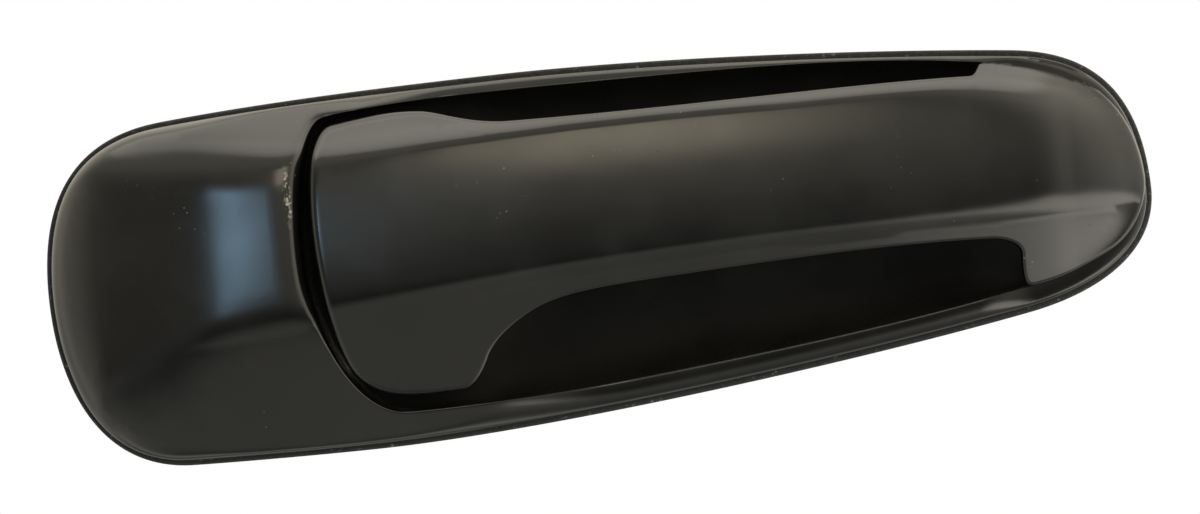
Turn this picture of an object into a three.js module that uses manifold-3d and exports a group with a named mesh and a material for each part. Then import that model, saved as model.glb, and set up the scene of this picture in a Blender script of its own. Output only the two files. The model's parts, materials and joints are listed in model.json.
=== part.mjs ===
// Outside pull handle of a car door, right-hand side. Millimetres.
// +X runs along the handle to its hinge end, -Y is outboard, +Z is up.
// The plane Y = 0 is the outer face of the door skin, where the gasket sits.
import * as THREE from 'three';
import { mergeVertices } from 'three/addons/utils/BufferGeometryUtils.js';
import Module from 'manifold-3d';

const wasm = await Module();
wasm.setup();

// ---- driving dimensions ----
const FIT = 0.3;
const GASKET_T = 1.8;
const GASKET_W = 1.8;
const BEZEL_INSET = 1.3;
const BEZEL_WALL = 2.6;
const RIM_H = 3.4;
const RIM_RISE = 3.2;
const RIM_RUN = 5;
const DOME_H = 20;
const DOME_RUN = 19;
const DOME_SPAN = 60;
const HINGE = { x: 115, y: 8, r: 2.2, z0: 2.6, z1: 13.4 };
const PIVOT = { y: 12.2, z: -24, r: 2.2, tube: 4.4 };
const HOOK = { x0: -49, x1: -41, z0: 4.5, z1: 9.5, footY: 25.8, tipY: 28.4 };
const CLIP_Z = -33.6;
const FINGER = { y: 22.4, z: -2.8, r: 2.3 };
const STUD_REAR = { x: -96, z: 4 };
const STUD_FRONT = { x: 101, z: 22 };
const SLOT = { x0: -57.5, x1: -39, z0: -18.4, z1: 12 };

const BUMPERS = [[-58, 22, -3.9], [-43, -22.2, -4.5]];
const BEZEL_SCREWS = [[-110, 16], [-80, 30], [-80, -22]];

// Closed outlines seen from outboard: x, z, heading in degrees, pull in, pull out.
const GASKET_LINE = [
  [-125.4, 3.3, 90, 22, 21],
  [-96.4, 40.4, 5, 21, 23.5],
  [-20.3, 43.2, 0.5, 24.5, 35],
  [97.5, 36.5, -6.4, 33.5, 18],
  [126, 2.6, -89, 22.3, 15],
  [95.7, -23.1, 190, 16.3, 39],
  [-55, -38.5, 180, 40, 14.7],
  [-96.5, -37.8, 178, 11, 20.4],
];
const MOUTH_LINE = [
  [-66.2, 3, 93, 12, 14],
  [-59, 37, 12, 5, 12],
  [0, 39, -0.5, 25, 35],
  [96, 33, -12, 28, 10],
  [120.6, 6, -92, 17, 9],
  [98, -16.4, 192, 8, 25],
  [0, -28.9, 185, 38, 15],
  [-47, -30.4, 176, 6, 12],
];
const GRIP_LINE = [
  [-63, 5, 94, 12, 12],
  [-57, 35.4, 9, 6, 8],
  [-36.5, 36.3, -8, 6, 4],
  [-17, 32, -1.5, 9, 40],
  [87, 31.4, -2, 30, 1.6],
  [90.4, 34.2, 8, 1.4, 5],
  [106, 31.6, -21, 7, 10],
  [124.3, 5, -88, 14.5, 6],
  [115, -10.8, 207, 6, 7],
  [96.4, -17, 185, 6, 1.6],
  [94.6, -9.5, 87, 5, 2.2],
  [88, -5.6, 177, 3, 20],
  [20, -6.2, 182.5, 28, 16],
  [-14, -9.8, 200, 8, 5],
  [-27.2, -20, 246, 4.5, 3],
  [-33.5, -26.8, 181, 2.5, 8],
  [-57.2, -21.4, 128, 9, 5],
];

// Smooth tracks along the handle: x, value.
const CREASE_HIGH = [
  [-126, 29], [-95, 31], [-64, 27.6], [-30, 28.6], [0, 29.5], [40, 29.3], [90, 27.6], [126, 18],
];
const CREASE_LOW = [[-126, -6], [-95, -7], [-64, -5], [-30, -2.4], [0, -0.6], [40, 0.8], [126, 1.4]];
const FACE = [
  [-126, 23], [-95, 25.6], [-66, 26.6], [-35, 26.6], [0, 25.4], [40, 23], [80, 19], [108, 15], [126, 12],
];
const SPLIT = [[-66, 7], [-45, 7.6], [-20, 13.2], [0, 14], [60, 12], [86, 8.2], [102, 6.2], [126, 5.4]];
const BACK = [[-66, 4.4], [-45, 5], [-20, 10.2], [0, 11], [60, 9], [92, 6]];
const CREASE_SOFT = [
  [-126, 15], [-100, 11], [-82, 5], [-66, 2.6], [-40, 1.4], [0, 1], [80, 1.4], [104, 4], [126, 8],
];
const CROWN = [[-126, 1], [-90, 1], [-66, 0.7], [-40, 0.7], [-10, 1.1], [126, 1.1]];
const HIGH_SLOPE = 1.3;
const LOW_SLOPE = 0.46;

const MATERIAL = {};
function material(slot, color, metalness, roughness) {
  MATERIAL[slot] = new THREE.MeshStandardMaterial({ name: slot, color, metalness, roughness });
}
material('paint', 0x141413, 0.0, 0.35);
material('rubber', 0x0c0c0c, 0.0, 0.85);
material('nylon', 0x17181a, 0.0, 0.6);
material('acetal', 0xd9d6c8, 0.0, 0.5);
material('zinc', 0xa9a89c, 0.9, 0.45);
material('steel', 0xb4b6b8, 1.0, 0.3);

// ---- curves ----
function track(knots, x) {
  let i = 0;
  while (i < knots.length - 2 && x > knots[i + 1][0]) i++;
  const slope = (k) => {
    const a = knots[Math.max(k - 1, 0)];
    const b = knots[Math.min(k + 1, knots.length - 1)];
    return (b[1] - a[1]) / (b[0] - a[0]);
  };
  const [x0, v0] = knots[i];
  const [x1, v1] = knots[i + 1];
  const w = x1 - x0;
  const t = THREE.MathUtils.clamp((x - x0) / w, 0, 1);
  const t2 = t * t;
  const t3 = t2 * t;
  return (2 * t3 - 3 * t2 + 1) * v0 + (t3 - 2 * t2 + t) * w * slope(i)
    + (3 * t2 - 2 * t3) * v1 + (t3 - t2) * w * slope(i + 1);
}

function pull(length, heading) {
  return new THREE.Vector2(length, 0).rotateAround(new THREE.Vector2(), THREE.MathUtils.degToRad(heading));
}

function linePoints(knots, steps) {
  const path = new THREE.CurvePath();
  knots.forEach((a, i) => {
    const b = knots[(i + 1) % knots.length];
    const p0 = new THREE.Vector2(a[0], a[1]);
    const p1 = new THREE.Vector2(b[0], b[1]);
    const out = pull(a[4], a[2]);
    const into = pull(b[3], b[2]);
    path.add(new THREE.CubicBezierCurve(p0, p0.clone().add(out), p1.clone().sub(into), p1));
  });
  return path.curves.flatMap((c) => c.getPoints(steps).slice(0, -1));
}

// Moves a clockwise outline inward by d, leaving out what folds over at tight corners.
function inset(points, d) {
  const n = points.length;
  const moved = points.map((p, i) => {
    const t = points[(i + 1) % n].clone().sub(points[(i + n - 1) % n]).normalize();
    return new THREE.Vector2(p.x + t.y * d, p.y - t.x * d);
  });
  return moved.filter((p) => distanceTo(points, p.x, p.y) > 0.96 * Math.abs(d));
}

function distanceTo(points, x, z) {
  let best = 1e9;
  points.forEach((a, i) => {
    const b = points[(i + 1) % points.length];
    const ex = b.x - a.x;
    const ez = b.y - a.y;
    const t = THREE.MathUtils.clamp(((x - a.x) * ex + (z - a.y) * ez) / (ex * ex + ez * ez), 0, 1);
    best = Math.min(best, Math.hypot(x - a.x - t * ex, z - a.y - t * ez));
  });
  return best;
}

function inside(points, x, z) {
  let odd = false;
  points.forEach((a, i) => {
    const b = points[(i + 1) % points.length];
    if ((a.y > z) !== (b.y > z) && x < ((b.x - a.x) * (z - a.y)) / (b.y - a.y) + a.x) odd = !odd;
  });
  return odd;
}

function depthInside(points, x, z) {
  return inside(points, x, z) ? distanceTo(points, x, z) : 0;
}

// ---- solids ----
function solid(geometry) {
  const g = geometry.clone();
  ['normal', 'uv', 'uv1', 'color'].forEach((name) => g.deleteAttribute(name));
  const m = mergeVertices(g, 1e-4);
  return new wasm.Manifold(new wasm.Mesh({
    numProp: 3,
    vertProperties: new Float32Array(m.attributes.position.array),
    triVerts: new Uint32Array(m.index.array),
  }));
}

function geometryOf(manifold) {
  const m = manifold.asOriginal().simplify(0.03).getMesh();
  const g = new THREE.BufferGeometry();
  g.setAttribute('position', new THREE.BufferAttribute(new Float32Array(m.vertProperties), 3));
  g.setIndex(new THREE.BufferAttribute(new Uint32Array(m.triVerts), 1));
  const flat = g.toNonIndexed();
  flat.computeVertexNormals();
  return flat;
}

function indexed(positions, faces) {
  const g = new THREE.BufferGeometry();
  g.setAttribute('position', new THREE.Float32BufferAttribute(positions.flat(), 3));
  g.setIndex(faces.flat());
  return solid(g);
}

// Outline in X and Z, extruded over y0..y1.
function prism(points, y0, y1, holes = []) {
  const shape = new THREE.Shape(THREE.ShapeUtils.isClockWise(points) ? [...points].reverse() : points);
  holes.forEach((h) => shape.holes.push(new THREE.Path(h)));
  const g = new THREE.ExtrudeGeometry(shape, { depth: y1 - y0, bevelEnabled: false });
  g.rotateX(Math.PI / 2);
  g.translate(0, y1, 0);
  return solid(g);
}

function block(x0, x1, y0, y1, z0, z1) {
  const g = new THREE.BoxGeometry(x1 - x0, y1 - y0, z1 - z0);
  g.translate((x0 + x1) / 2, (y0 + y1) / 2, (z0 + z1) / 2);
  return solid(g);
}

// Turned piece: profile of [radius, along] starting and ending on the axis, or closed for a ring.
function turned(profile, axis, at, sides = 20) {
  const g = new THREE.LatheGeometry(profile.map(([r, y]) => new THREE.Vector2(r, y)), sides);
  if (axis === 'x') g.rotateZ(-Math.PI / 2);
  if (axis === 'z') g.rotateX(Math.PI / 2);
  g.translate(...at);
  return solid(g);
}

function rod(r, a, b, axis, at, sides = 16) {
  return turned([[0, a], [r, a], [r, b], [0, b]], axis, at, sides);
}

function ring(r0, r1, a, b, axis, at, sides = 20) {
  return turned([[r0, a], [r1, a], [r1, b], [r0, b], [r0, a]], axis, at, sides);
}

// Solid between two fields y = front(x, z) and y = back(x, z) on a grid whose rows follow rowZ(x, k).
function fieldSolid(xs, rowZ, rows, front, back) {
  const at = (i, j, side) => (i * rows + j) * 2 + side;
  const positions = [];
  xs.forEach((x) => {
    for (let j = 0; j < rows; j++) {
      const z = rowZ(x, j);
      positions.push([x, front(x, z), z], [x, back(x, z), z]);
    }
  });
  const faces = [];
  const quad = (a, b, c, d) => faces.push([a, b, c], [a, c, d]);
  const last = xs.length - 1;
  for (let i = 0; i < last; i++) {
    for (let j = 0; j < rows - 1; j++) {
      quad(at(i, j, 0), at(i + 1, j, 0), at(i + 1, j + 1, 0), at(i, j + 1, 0));
      quad(at(i, j, 1), at(i, j + 1, 1), at(i + 1, j + 1, 1), at(i + 1, j, 1));
    }
    quad(at(i, 0, 0), at(i, 0, 1), at(i + 1, 0, 1), at(i + 1, 0, 0));
    quad(at(i, rows - 1, 0), at(i + 1, rows - 1, 0), at(i + 1, rows - 1, 1), at(i, rows - 1, 1));
  }
  for (let j = 0; j < rows - 1; j++) {
    quad(at(0, j, 0), at(0, j + 1, 0), at(0, j + 1, 1), at(0, j, 1));
    quad(at(last, j, 0), at(last, j, 1), at(last, j + 1, 1), at(last, j + 1, 0));
  }
  return indexed(positions, faces);
}

// Solid through stacked rings of [x, y, z]. Each ring runs out along one side and back along the
// other, and both ends are closed by a strip between the two sides.
function loft(rings) {
  const n = rings[0].length;
  const faces = [];
  for (let k = 0; k < rings.length - 1; k++) {
    for (let i = 0; i < n; i++) {
      const j = (i + 1) % n;
      faces.push([k * n + i, k * n + j, (k + 1) * n + j], [k * n + i, (k + 1) * n + j, (k + 1) * n + i]);
    }
  }
  const top = (rings.length - 1) * n;
  for (let u = 0; u < n / 2 - 1; u++) {
    const v = n - 1 - u;
    faces.push([u + 1, u, v], [u + 1, v, v - 1]);
    faces.push([top + u, top + u + 1, top + v], [top + u + 1, top + v - 1, top + v]);
  }
  const made = indexed(rings.flat(), faces);
  return made.volume() > 0 ? made : indexed(rings.flat(), faces.map(([a, b, c]) => [a, c, b]));
}

const group = new THREE.Group();
group.name = 'door_handle';
function add(name, manifold, slot) {
  const mesh = new THREE.Mesh(geometryOf(manifold), MATERIAL[slot]);
  mesh.name = name;
  group.add(mesh);
}

// ---- master surface shared by the dome and the grip ----
function softMin(a, b, k) {
  return 0.5 * (a + b - Math.sqrt((a - b) ** 2 + k * k));
}

function softRise(t, k) {
  return 0.5 * (t + Math.sqrt(t * t + k * k));
}

function masterHeight(x, z) {
  const soft = track(CREASE_SOFT, x);
  const high = track(CREASE_HIGH, x);
  const low = track(CREASE_LOW, x);
  const across = (2 * z - high - low) / (high - low);
  return track(FACE, x)
    - HIGH_SLOPE * softRise(z - high, soft)
    - LOW_SLOPE * softRise(low - z, soft)
    + 0.25 * (HIGH_SLOPE + LOW_SLOPE) * soft
    - track(CROWN, x) * Math.min(across ** 2, 1.6);
}

function quarter(d, run) {
  const t = 1 - THREE.MathUtils.clamp(d / run, 0, 1);
  return Math.sqrt(Math.max(0, 1 - t * t));
}

const gasketPoints = linePoints(GASKET_LINE, 12);
const bezelPoints = inset(gasketPoints, BEZEL_INSET);
const mouthPoints = linePoints(MOUTH_LINE, 10);
const gripPoints = linePoints(GRIP_LINE, 6);

function bezelHeight(x, z) {
  const reach = -28 + 34 * (1 - THREE.MathUtils.smoothstep(z, -26, 0));
  const dome = 1 - THREE.MathUtils.smoothstep(x, -72, reach);
  const d = depthInside(bezelPoints, x, z);
  const rise = RIM_RISE - 2 * THREE.MathUtils.smoothstep(x, 84, 98);
  const rim = RIM_H + rise * quarter(d, RIM_RUN);
  const end = x + 124.2 - 0.008 * (z - 3) ** 2;
  const span = 22 + (DOME_SPAN - 22) * Math.exp(-(((z - 8) / 22) ** 4));
  const bulge = softMin(DOME_H * quarter(d, DOME_RUN), DOME_H * quarter(end, span), 5) + 2.5;
  const left = 1 - THREE.MathUtils.smoothstep(x, -112, -84);
  const skin = softMin(masterHeight(x, z), rim + dome * bulge, 1.2 + 5 * left * quarter(d, 6));
  return Math.max(skin, RIM_H - 0.2);
}

function gripHeight(x, z) {
  const nose = THREE.MathUtils.smoothstep(x, 86, 108);
  const tip = THREE.MathUtils.smoothstep(x, 92, 124);
  const d = depthInside(gripPoints, x, z);
  const edge = 7 + 13 * quarter(d, 16) + 30 * (1 - nose);
  return softMin(masterHeight(x, z), edge, 0.8 + 6 * tip * quarter(d, 5));
}

function steps(a, b, n) {
  return Array.from({ length: n + 1 }, (_, i) => a + ((b - a) * i) / n);
}

// Rows follow the two creases, with extra rows on the flanks.
function creaseRow(parts) {
  return (x, j) => {
    const lines = [-46, track(CREASE_LOW, x), track(CREASE_HIGH, x), 50];
    let k = j;
    for (let s = 0; s < 3; s++) {
      if (k <= parts[s]) return THREE.MathUtils.lerp(lines[s], lines[s + 1], k / parts[s]);
      k -= parts[s];
    }
    return lines[3];
  };
}

function loaf(xs, parts, height, back) {
  const rows = parts[0] + parts[1] + parts[2] + 1;
  return fieldSolid(xs, creaseRow(parts), rows, (x, z) => -height(x, z), back);
}

// ---- gasket, bezel and carrier ----
function gasket() {
  return prism(gasketPoints, -GASKET_T, 0, [inset(gasketPoints, GASKET_W)]);
}

function bezel() {
  const backY = -(GASKET_T + FIT);
  const domeXs = [...steps(-127, -100, 12), ...steps(-96, -60, 10)];
  const xs = [...domeXs, ...steps(-54, -42, 3), ...steps(-20, 128, 9)];
  const skin = loaf(xs, [11, 4, 8], bezelHeight, () => backY);
  const domeLine = [[-64, 60], [-64, -60], [-140, -60], [-140, 60]].map((p) => new THREE.Vector2(...p));
  const hollow = loaf(xs, [11, 4, 8], (x, z) => bezelHeight(x, z) - BEZEL_WALL, () => backY + 1)
    .intersect(prism(inset(bezelPoints, BEZEL_WALL), -60, 5))
    .intersect(prism(domeLine, -60, 5))
    .subtract(prism(inset(mouthPoints, -BEZEL_WALL), -60, 5));
  let body = skin.intersect(prism(bezelPoints, -60, 5))
    .subtract(prism(mouthPoints, -60, 5))
    .subtract(hollow);
  BEZEL_SCREWS.forEach(([x, z]) => {
    const top = 1 - bezelHeight(x, z);
    body = body.add(rod(3.4, top, backY, 'y', [x, 0, z])).subtract(rod(1.7, -11, 5, 'y', [x, 0, z]));
  });
  return body;
}

// Lowest and highest crossing of an outline at x.
function crossings(points, x) {
  const zs = [];
  points.forEach((a, i) => {
    const b = points[(i + 1) % points.length];
    if ((a.x > x) !== (b.x > x)) zs.push(THREE.MathUtils.mapLinear(x, a.x, b.x, a.y, b.y));
  });
  return [Math.min(...zs), Math.max(...zs)];
}

// The mouth as one ring: along the top from left to right, back along the bottom.
function mouthRing() {
  const x0 = Math.min(...mouthPoints.map((p) => p.x));
  const x1 = Math.max(...mouthPoints.map((p) => p.x));
  const n = 32;
  const xs = steps(1, n - 1, n - 2).map((j) => x0 + (x1 - x0) * (0.5 - 0.5 * Math.cos((Math.PI * j) / n)));
  const top = xs.map((x) => [x, crossings(mouthPoints, x)[1]]);
  return [...top, ...xs.reverse().map((x) => [x, crossings(mouthPoints, x)[0]])];
}

// The mouth drawn towards the middle line of the recess by share s, at depth y.
function recessRing(s, y, grow) {
  return mouthRing().map(([x, z]) => {
    const cx = THREE.MathUtils.clamp(x, -36, 92);
    const cz = THREE.MathUtils.mapLinear(cx, -36, 92, 4, 8);
    const k = 1 - s + grow / Math.hypot(x - cx, z - cz);
    const deep = THREE.MathUtils.smoothstep(x, -38, -12) * (1 - THREE.MathUtils.smoothstep(x, 76, 100));
    const depth = y * THREE.MathUtils.lerp(0.22, 1, deep) + (grow > 0 ? 2.2 : 0);
    return [cx + (x - cx) * k, y > 0 ? depth : y, cz + (z - cz) * k];
  });
}

function recess(grow) {
  const rim = [0, grow > 0 ? -GASKET_T : -GASKET_T - 0.01];
  const wall = [[0.02, 0.4], [0.05, 3.2], [0.1, 6.4], [0.17, 9.2], [0.26, 11.6]];
  const levels = [rim, ...wall, [0.38, 13.4], [0.56, 14.5], [0.8, 14.8]];
  return loft(levels.map(([s, y]) => recessRing(s, y, grow)));
}

function carrier() {
  const plate = prism(inset(gasketPoints, GASKET_W + FIT), -GASKET_T, -0.5);
  const ledge = recess(1.1).intersect(prism(inset(gasketPoints, GASKET_W + FIT), -5, 40));
  let body = plate.add(ledge);
  const ribs = [
    block(-73, -69.5, -1.2, 17.4, -29.5, -18.5),
    block(-44, -40.5, 1, 17.4, -29.5, -19.6),
    block(109, 120, -1.2, 13.4, 14, 17.6),
    block(109, 120, -1.2, 13.4, -1.6, 2),
    block(SLOT.x0 - 3, SLOT.x1 + 3, 0, 5.6, SLOT.z0 - 3, SLOT.z1 + 3),
    rod(8, -1, 7, 'y', [STUD_FRONT.x, 0, STUD_FRONT.z], 24),
    rod(8.5, -1.2, 0, 'y', [STUD_REAR.x, 0, STUD_REAR.z], 24),
    block(-118, -110, -1.2, 0, -8, 8),
    block(-88, -80, -1.2, 0, -8, 8),
  ];
  ribs.forEach((r) => {
    body = body.add(r);
  });
  const cuts = [
    recess(0),
    block(SLOT.x0, SLOT.x1, -5, 30, SLOT.z0, SLOT.z1),
    block(SLOT.x0 - 1.5, SLOT.x1 + 1.5, 5.6, 8, SLOT.z0 - 1.2, SLOT.z1 + 1.5),
    block(103, 121.4, -5, 30, 2, 14),
    block(109, 120.5, 2.6, 16, -4.4, -1.6),
    rod(3.3, -5, 30, 'y', [STUD_REAR.x, 0, STUD_REAR.z]),
    rod(3.3, -5, 30, 'y', [STUD_FRONT.x, 0, STUD_FRONT.z]),
    rod(PIVOT.r + FIT, -80, -30, 'x', [0, PIVOT.y, PIVOT.z]),
    rod(HINGE.r + FIT, -30, 30, 'z', [HINGE.x, HINGE.y, 0]),
    ...BEZEL_SCREWS.map(([x, z]) => rod(2.1, -5, 5, 'y', [x, 0, z])),
  ];
  cuts.forEach((c) => {
    body = body.subtract(c);
  });
  BUMPERS.forEach(([x, z, top]) => {
    body = body.add(rod(2.6, top + 3.5, 4, 'y', [x, 0, z]));
  });
  return body;
}

// Pan-head screw along Y: head seat at headY, point at tipY.
function screw(at, headY, tipY) {
  const out = Math.sign(headY - tipY);
  const top = headY + 1.8 * out;
  const profile = [[0, tipY], [1.3, tipY], [1.3, headY], [3.4, headY], [2.8, top], [0, top]];
  const body = turned(out > 0 ? profile : profile.reverse(), 'y', at, 16);
  const slotA = block(at[0] - 1.6, at[0] + 1.6, top - 0.8, top + 0.8, at[2] - 0.45, at[2] + 0.45);
  const slotB = block(at[0] - 0.45, at[0] + 0.45, top - 0.8, top + 0.8, at[2] - 1.6, at[2] + 1.6);
  return body.subtract(slotA.add(slotB));
}

function stud(at, headY, endY) {
  return turned([[0, headY - 2.6], [6.4, headY - 2.6], [6.4, headY], [3, headY], [3, endY - 1], [2.2, endY],
    [0, endY]], 'y', at, 20);
}

function nut(at, y0) {
  const hex = Array.from({ length: 6 }, (_, i) => {
    const a = (i * Math.PI) / 3;
    return new THREE.Vector2(at[0] + 5.77 * Math.cos(a), at[2] + 5.77 * Math.sin(a));
  });
  return prism(hex, y0, y0 + 5)
    .add(rod(6.9, y0, y0 + 1.2, 'y', at, 24))
    .subtract(rod(3.3, -10, 60, 'y', at, 20));
}

// ---- grip ----
const GRIP_X = [...steps(-66, -18, 12), ...steps(-8, 92, 10), ...steps(96, 126, 11)];

function gripOuter() {
  const wall = 2.8;
  const parts = [8, 4, 5];
  const outside = (x, z) => Math.max(gripHeight(x, z), track(SPLIT, x) + 0.3);
  const hollow = (x, z) => Math.max(gripHeight(x, z) - wall, track(SPLIT, x) - 2);
  const shell = loaf(GRIP_X, parts, outside, (x) => -track(SPLIT, x));
  const core = loaf(GRIP_X, parts, hollow, (x) => -track(SPLIT, x) + 4);
  return shell.intersect(prism(gripPoints, -60, 5))
    .subtract(core.intersect(prism(inset(gripPoints, wall), -60, 5)));
}

function gripInner() {
  const xs = [...steps(-66, -18, 6), ...steps(-7, 92, 8)];
  const front = (x) => -track(SPLIT, x) + FIT;
  const slab = fieldSolid(xs, (x, j) => (j ? 50 : -40), 2, front, (x) => -track(BACK, x));
  return slab.intersect(prism(gripPoints.filter((p) => p.x < 84), -60, 5));
}

// ---- hinge and hook, carried by the grip ----
function hingeArm() {
  const line = [[97, -9.4], [112, -9.4], [116, -6], [119.5, 4], [119.6, 8], [118.3, 11.3], [115, 12.6],
    [111.7, 11.3], [110.4, 8], [110.4, 4], [108.5, -3.5], [104, -5.6], [97, -5.6]];
  const g = new THREE.ExtrudeGeometry(new THREE.Shape(line.map((p) => new THREE.Vector2(...p))),
    { depth: HINGE.z1 - HINGE.z0, bevelEnabled: false });
  g.translate(0, 0, HINGE.z0);
  return solid(g).subtract(rod(3.4, -5, 30, 'z', [HINGE.x, HINGE.y, 0], 20));
}

function hingeBush(z0, z1, flangeAtTop) {
  const body = ring(HINGE.r + FIT, 3.1, z0, z1, 'z', [HINGE.x, HINGE.y, 0]);
  const f0 = flangeAtTop ? HINGE.z1 + 0.1 : HINGE.z0 - 0.4;
  return body.add(ring(HINGE.r + FIT, 4.4, f0, f0 + 0.3, 'z', [HINGE.x, HINGE.y, 0]));
}

function hookArm() {
  const leg = block(HOOK.x0, HOOK.x1, -4, HOOK.tipY, HOOK.z0, HOOK.z1);
  const pad = block(HOOK.x0 - 7, HOOK.x1 + 7, -4, -1.6, HOOK.z0 - 6, HOOK.z1 + 6);
  const foot = block(HOOK.x0, HOOK.x1, HOOK.footY + 0.6, HOOK.tipY, -7, HOOK.z0 + 1);
  const gusset = [[-1.6, HOOK.z0 - 6], [7, HOOK.z0], [-1.6, HOOK.z0]];
  const g = new THREE.ExtrudeGeometry(new THREE.Shape(gusset.map((p) => new THREE.Vector2(...p))),
    { depth: 3, bevelEnabled: false });
  const m = new THREE.Matrix4().makeBasis(new THREE.Vector3(0, 1, 0), new THREE.Vector3(0, 0, 1),
    new THREE.Vector3(1, 0, 0));
  g.applyMatrix4(m);
  g.translate(-46.5, 0, 0);
  return leg.add(pad).add(foot).add(solid(g));
}

function hookCap() {
  const outer = block(HOOK.x0 - 0.9, HOOK.x1 + 0.9, HOOK.footY - 0.3, HOOK.tipY + 1.4, -8.4, -0.5);
  return outer.subtract(block(HOOK.x0 - 0.2, HOOK.x1 + 0.2, HOOK.footY + 0.4, HOOK.tipY + 0.2, -7.2, 5));
}

// ---- bellcrank on its pin ----
function bellcrank() {
  const at = [0, PIVOT.y, PIVOT.z];
  const web = (pts, x0, x1) => {
    const g = new THREE.ExtrudeGeometry(new THREE.Shape(pts.map((p) => new THREE.Vector2(...p))),
      { depth: x1 - x0, bevelEnabled: false });
    g.applyMatrix4(new THREE.Matrix4().makeBasis(new THREE.Vector3(0, 1, 0), new THREE.Vector3(0, 0, 1),
      new THREE.Vector3(1, 0, 0)));
    g.translate(x0, 0, 0);
    return solid(g);
  };
  const leverLine = [
    [9.4, -25.4], [15, -26.6], [16.4, -23], [25, -4.6], [25, -1.6], [22.4, -0.2], [20, -1.4],
  ];
  const tailLine = [[8, -24], [9, -34.4], [10.6, -36.6], [13.8, -36.6], [15.4, -34.4], [16.4, -24]];
  const lever = web(leverLine, -55.6, -52.2);
  const tail = web(tailLine, -55.6, -52.2);
  return lever.add(tail)
    .add(rod(PIVOT.tube, -68.9, -50.4, 'x', at, 24))
    .add(rod(FINGER.r, -53, -40.5, 'x', [0, FINGER.y, FINGER.z], 16))
    .add(block(-68.4, -57.6, PIVOT.y - 4.4, PIVOT.y + 5.4, -30.6, -25.6))
    .subtract(rod(3.3, -90, -30, 'x', at, 20))
    .subtract(rod(1.9, -60, -48, 'x', [0, PIVOT.y, CLIP_Z], 12));
}

function helix(turns, pitch, radius) {
  class Helix extends THREE.Curve {
    getPoint(t, target = new THREE.Vector3()) {
      const a = t * turns * 2 * Math.PI;
      return target.set(t * turns * pitch, radius * Math.cos(a), radius * Math.sin(a));
    }
  }
  return new Helix();
}

function spring() {
  const section = new THREE.Shape();
  section.absarc(0, 0, 0.6, 0, 2 * Math.PI);
  const g = new THREE.ExtrudeGeometry(section, {
    steps: 64,
    curveSegments: 4,
    extrudePath: helix(3.4, 1.45, 5.6),
  });
  g.translate(-49.6, PIVOT.y, PIVOT.z);
  return solid(g);
}

function rodClip() {
  const at = [0, PIVOT.y, CLIP_Z];
  return rod(1.6, -56.6, -50.4, 'x', at, 12)
    .add(rod(3, -51.8, -45.4, 'x', at, 16))
    .add(block(-51, -46.2, PIVOT.y - 5, PIVOT.y + 5, CLIP_Z - 2.2, CLIP_Z + 2.2))
    .subtract(rod(1.1, -10, 40, 'y', [-48.6, 0, CLIP_Z], 10));
}

function clip(axis, at) {
  const g = ring(2.6, 4.6, 0, 0.8, axis, at, 16);
  const gap = axis === 'x' ? block(at[0] - 2, at[0] + 2, at[1], at[1] + 8, at[2] - 1.5, at[2] + 1.5)
    : block(at[0], at[0] + 8, at[1] - 1.5, at[1] + 1.5, at[2] - 2, at[2] + 2);
  return g.subtract(gap);
}

function bumper(x, z, y0) {
  return turned([[0, y0], [2.4, y0], [3.6, y0 + 1], [3.6, y0 + 3.2], [0, y0 + 3.2]], 'y', [x, 0, z], 16);
}

function slotSeal() {
  const hole = block(SLOT.x0 + 0.9, SLOT.x1 - 0.9, -20, 40, SLOT.z0 + 0.9, SLOT.z1 - 0.9);
  const lip = block(SLOT.x0 - 1.2, SLOT.x1 + 1.2, 5.9, 6.6, SLOT.z0 - 0.9, SLOT.z1 + 1.2);
  const neck = block(SLOT.x0 + 0.3, SLOT.x1 - 0.3, 3.4, 6.2, SLOT.z0 + 0.3, SLOT.z1 - 0.3);
  return lip.add(neck).subtract(hole);
}

add('gasket', gasket(), 'rubber');
add('bezel', bezel(), 'paint');
add('carrier', carrier(), 'nylon');
BEZEL_SCREWS.forEach(([x, z], i) => {
  add(`bezel_screw_${i + 1}`, screw([x, 0, z], -0.2, -9.5), 'steel');
});
const STUDS = [['rear', STUD_REAR, -GASKET_T - FIT, 0.3], ['front', STUD_FRONT, 0.4, 7.3]];
STUDS.forEach(([name, s, head, seat]) => {
  const at = [s.x, 0, s.z];
  add(`stud_${name}`, stud(at, head, seat + 19), 'steel');
  add(`washer_${name}`, ring(3.3, 8, seat + 1, seat + 2.4, 'y', at, 24), 'steel');
  add(`nut_${name}`, nut(at, seat + 2.7), 'zinc');
});
add('hinge_pin', rod(HINGE.r, -3.6, 19.4, 'z', [HINGE.x, HINGE.y, 0], 16)
  .add(rod(3.6, 17.9, 19.4, 'z', [HINGE.x, HINGE.y, 0], 16)), 'steel');
add('hinge_pin_clip', clip('z', [HINGE.x, HINGE.y, -2.8]), 'steel');
add('bellcrank_pin', rod(PIVOT.r, -74.6, -37.4, 'x', [0, PIVOT.y, PIVOT.z], 16)
  .add(rod(3.6, -74.8, -73.3, 'x', [0, PIVOT.y, PIVOT.z], 16)), 'steel');
add('bellcrank_pin_clip', clip('x', [-39.8, PIVOT.y, PIVOT.z]), 'steel');
add('bellcrank_spring', spring(), 'steel');
add('slot_seal', slotSeal(), 'rubber');
add('bumper_upper', bumper(...BUMPERS[0]), 'rubber');
add('bumper_lower', bumper(...BUMPERS[1]), 'rubber');

add('grip_outer', gripOuter(), 'paint');
add('grip_inner', gripInner(), 'paint');
add('hinge_arm', hingeArm(), 'zinc');
add('hinge_bush_upper', hingeBush(8.3, HINGE.z1 + 0.4, true), 'acetal');
add('hinge_bush_lower', hingeBush(HINGE.z0 - 0.4, 7.7, false), 'acetal');
add('hook_arm', hookArm(), 'zinc');
add('hook_cap', hookCap(), 'acetal');

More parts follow.
